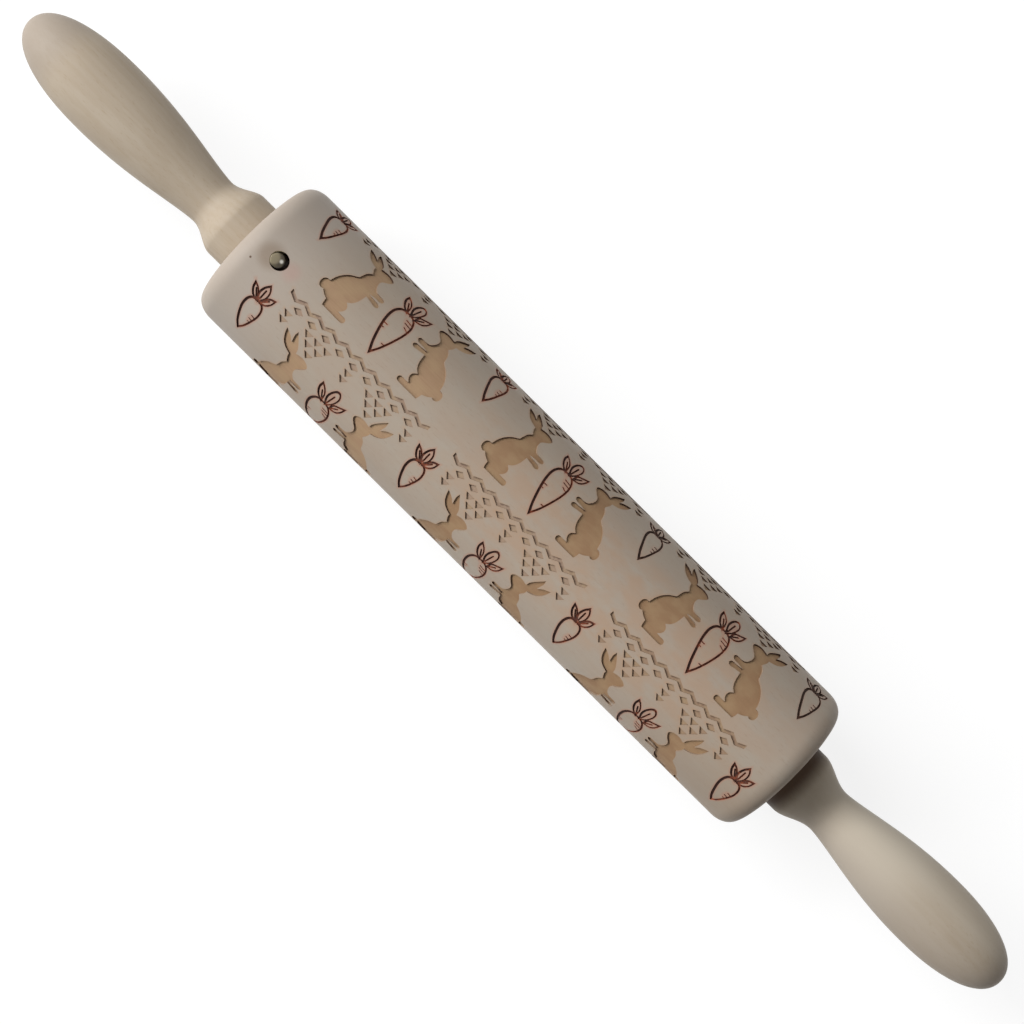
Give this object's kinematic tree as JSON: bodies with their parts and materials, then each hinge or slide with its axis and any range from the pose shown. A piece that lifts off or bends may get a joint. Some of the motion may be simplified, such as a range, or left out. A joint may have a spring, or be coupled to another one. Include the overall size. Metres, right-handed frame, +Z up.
{
  "type": "embossed rolling pin",
  "caption": "Wooden rolling pin with an engraved cylindrical barrel that turns on loose turned handles, each held by a steel pin in a radial hole.",
  "frame": {"origin": "centre of the bounding box's bottom face, on the surface that the barrel rests on", "axes": "+X along the pin's axis from the left handle to the right handle, +Y across, +Z up"},
  "size_m": [0.43, 0.0532, 0.0532],
  "materials": {
    "barrel_beech": "unfinished sanded beech, engraved and lightly scorched",
    "handle_beech": "unfinished sanded beech",
    "bright_steel": "bright domed steel"
  },
  "bodies": {
    "roller": {"barrel": "barrel_beech", "left_pin": "bright_steel", "right_pin": "bright_steel"},
    "left_handle": {"left_handle": "handle_beech"},
    "right_handle": {"right_handle": "handle_beech"}
  },
  "joints": [
    {"name": "left_handle_spin", "type": "hinge", "parent": "roller", "child": "left_handle", "pos_m": [-0.1151, 0, 0.02662], "axis": [1, 0, 0], "continuous": true},
    {"name": "right_handle_spin", "type": "hinge", "parent": "roller", "child": "right_handle", "pos_m": [0.1194, 0, 0.02662], "axis": [1, 0, 0], "continuous": true}
  ]
}
